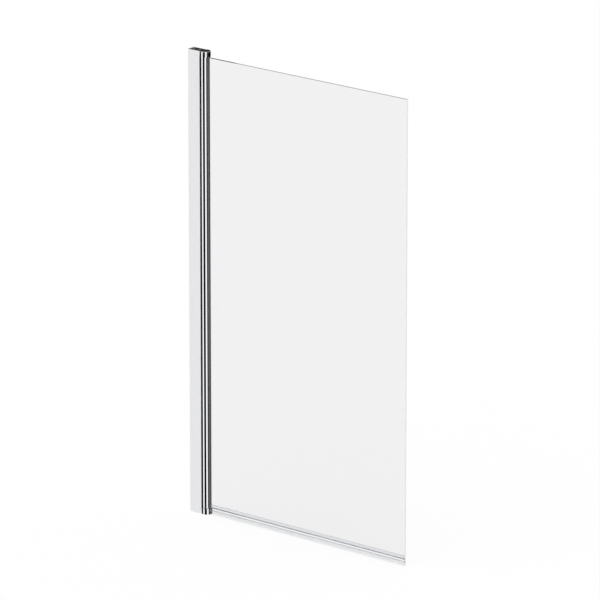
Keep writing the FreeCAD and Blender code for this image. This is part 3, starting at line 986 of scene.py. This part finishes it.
class SCREEN_OT_nylon_parts(bpy.types.Operator):
    """Bushes, thrust washer, tube plugs and setting blocks"""

    bl_idname = "screen.nylon_parts"
    bl_label = "Nylon Parts"

    def execute(self, context):
        dress("moulded_nylon", "top_bush", "bottom_bush", "thrust_washer", "setting_blocks")
        dress("moulded_nylon", "top_tube_plug", "bottom_tube_plug")
        return {"FINISHED"}


# ------------------------------------------------------------------ studio


def kinds_of_ray(tree):
    """1 for a ray that looks straight or through glass, and 1 for a mirrored ray."""
    straight = tree.add("ShaderNodeLightPath", output="Is Camera Ray")
    through = straight.out("Is Transmission Ray")
    seen = tree.add("ShaderNodeMath", {"operation": "MAXIMUM"}, {0: straight, 1: through})
    bounced = tree.step(straight.out("Glossy Depth"), 0.4, 0.6)
    return seen, straight.out("Is Glossy Ray") * bounced


def between(value, low, high, soft):
    """1 from low to high, falling softly to 0 on each side."""
    tree = value.tree
    rising = tree.step(value, low - soft, low + soft)
    return rising * (1 - tree.step(value, high - soft, high + soft))


def any_between(value, ranges, soft):
    """1 in any of the ranges, which don't meet."""
    masks = [between(value, low, high, soft) for low, high in ranges]
    whole = masks[0]
    for mask in masks[1:]:
        whole = whole + mask
    return whole


def mirrored_room(tree, azimuth):
    """1 where a mirrored ray meets soft white, and near 0 where it meets a dark panel."""
    facing = tree.add("ShaderNodeTexCoord", output="Generated")
    along = tree.add("ShaderNodeSeparateXYZ", None, {"Vector": facing}, "X")
    turn = tree.add("ShaderNodeMath", {"operation": "ARCTAN2"}, {0: along.out("Y"), 1: along})
    rise = tree.add("ShaderNodeMath", {"operation": "ARCSINE"}, {0: along.out("Z")})
    rise = rise * math.degrees(1)
    from_camera = turn * math.degrees(1) - (math.degrees(azimuth) - 90)
    sockets = {0: from_camera, 1: 180, 2: -180}
    bearing = tree.add("ShaderNodeMath", {"operation": "WRAP"}, sockets)

    low_panels = any_between(bearing, LOW_PANELS, 1) * between(rise, -21, -12, 2)
    right_panel = between(bearing, 35, 155, 1) * between(rise, -23, -10, 2)
    uprights = any_between(bearing, UPRIGHTS, 1) * between(rise, -60, 60, 10)
    # the top faces mirror the panel behind
    behind = (1 - between(bearing, -150, 150, 6)) * between(rise, 8, 26, 3)
    return (1 - low_panels) * (1 - right_panel) * (1 - uprights) * (1 - behind * 0.965)


def studio_world(settings):
    """White to the eye and through glass. Metal sees soft boxes and dark panels round the room."""
    world = bpy.data.worlds.new("studio_surround")
    bpy.context.scene.world = world
    tree = Tree(world)
    bright = mirrored_room(tree, settings.azimuth)
    seen, mirror = kinds_of_ray(tree)
    plain = tree.blend(seen, shaded((1, 1, 1), settings.room_light), (1, 1, 1, 1))
    mirrored = tree.blend(bright, (0.004, 0.004, 0.004, 1), (1, 1, 1, 1))
    colour = tree.blend(mirror, plain, mirrored)
    backdrop = tree.add("ShaderNodeBackground", None, {"Color": colour, "Strength": 1.0})
    tree.add("ShaderNodeOutputWorld", None, {"Surface": backdrop})


def floor_material(settings):
    """Pale floor that keeps the object's shadow. Metal looks past it to the surround."""
    material = bpy.data.materials.new("studio_floor")
    tree = Tree(material)
    matt = tree.add("ShaderNodeBsdfDiffuse", None, {"Color": shaded(settings.floor, 1)})
    white = tree.add("ShaderNodeEmission", None, {"Color": (1, 1, 1, 1), "Strength": 1.0})
    clear = tree.add("ShaderNodeBsdfTransparent")
    seen, mirror = kinds_of_ray(tree)
    # what isn't white here takes the shadow
    pale = tree.add("ShaderNodeMixShader", None, {0: seen * 0.92, 1: matt, 2: white})
    whole = tree.add("ShaderNodeMixShader", None, {0: mirror, 1: pale, 2: clear})
    tree.add("ShaderNodeOutputMaterial", None, {"Surface": whole})
    return material


def lay_floor(settings):
    """A wide floor, just below the channel's foot."""
    bm = bmesh.new()
    bmesh.ops.create_grid(bm, x_segments=1, y_segments=1, size=60)
    bmesh.ops.translate(bm, verts=bm.verts, vec=(0, 0, -2 * MM))
    mesh = bpy.data.meshes.new("floor")
    bm.to_mesh(mesh)
    bm.free()
    mesh.materials.append(floor_material(settings))
    floor = bpy.data.objects.new("floor", mesh)
    bpy.context.scene.collection.objects.link(floor)


def hang_lamp(settings):
    """One broad soft lamp, high up in front."""
    lamp = bpy.data.lights.new("key", "SUN")
    lamp.energy = settings.key_light
    lamp.angle = math.radians(70)
    key = bpy.data.objects.new("key", lamp)
    key.rotation_euler = (math.radians(38), math.radians(-14), 0)
    bpy.context.scene.collection.objects.link(key)


def stand_camera(settings):
    """The camera at the photograph's viewing angle."""
    turn, rise = settings.azimuth, settings.elevation
    level = math.cos(rise)
    back = Vector((math.sin(turn) * level, -math.cos(turn) * level, math.sin(rise)))
    lens = bpy.data.cameras.new("camera")
    lens.lens = settings.lens
    lens.sensor_width = 36
    lens.clip_end = 200
    camera = bpy.data.objects.new("camera", lens)
    camera.rotation_mode = "QUATERNION"
    camera.location = Vector(settings.look_at) + back * settings.distance
    camera.rotation_quaternion = (-back).to_track_quat("-Z", "Y")
    bpy.context.scene.collection.objects.link(camera)
    bpy.context.scene.camera = camera


class SCREEN_OT_studio(bpy.types.Operator):
    """Floor, soft light and the camera"""

    bl_idname = "screen.studio"
    bl_label = "Studio"

    def execute(self, context):
        settings = context.scene.screen_studio
        studio_world(settings)
        lay_floor(settings)
        hang_lamp(settings)
        stand_camera(settings)
        context.scene.view_settings.view_transform = "Standard"
        return {"FINISHED"}


STEPS = (
    SCREEN_OT_studio,
    SCREEN_OT_wall_channel,
    SCREEN_OT_hinge_post,
    SCREEN_OT_caps,
    SCREEN_OT_pivot_tube,
    SCREEN_OT_glass,
    SCREEN_OT_rubbers,
    SCREEN_OT_seal_clip,
    SCREEN_OT_seal_fin,
    SCREEN_OT_fixings,
    SCREEN_OT_nylon_parts,
)


class SCREEN_PT_panel(bpy.types.Panel):
    """Lists the settings and the steps"""

    bl_idname = "SCREEN_PT_panel"
    bl_label = "Bath Screen"
    bl_space_type = "VIEW_3D"
    bl_region_type = "UI"
    bl_category = "Bath Screen"

    def draw(self, context):
        layout = self.layout
        for title, group in (
            ("Sizes", context.scene.screen_sizes),
            ("Colours", context.scene.screen_colours),
            ("Studio", context.scene.screen_studio),
        ):
            column = layout.column(heading=title)
            for name in group.__annotations__:
                column.prop(group, name)
        for step in STEPS:
            layout.operator(step.bl_idname)


CLASSES = (ScreenSizes, ScreenColours, StudioSettings, *STEPS, SCREEN_PT_panel)


def register():
    for cls in CLASSES:
        bpy.utils.register_class(cls)
    bpy.types.Scene.screen_sizes = PointerProperty(type=ScreenSizes)
    bpy.types.Scene.screen_colours = PointerProperty(type=ScreenColours)
    bpy.types.Scene.screen_studio = PointerProperty(type=StudioSettings)


def unregister():
    del bpy.types.Scene.screen_studio
    del bpy.types.Scene.screen_colours
    del bpy.types.Scene.screen_sizes
    for cls in reversed(CLASSES):
        bpy.utils.unregister_class(cls)


def main():
    register()
    for step in STEPS:
        group, name = step.bl_idname.split(".")
        getattr(getattr(bpy.ops, group), name)()


if __name__ == "__main__":
    main()
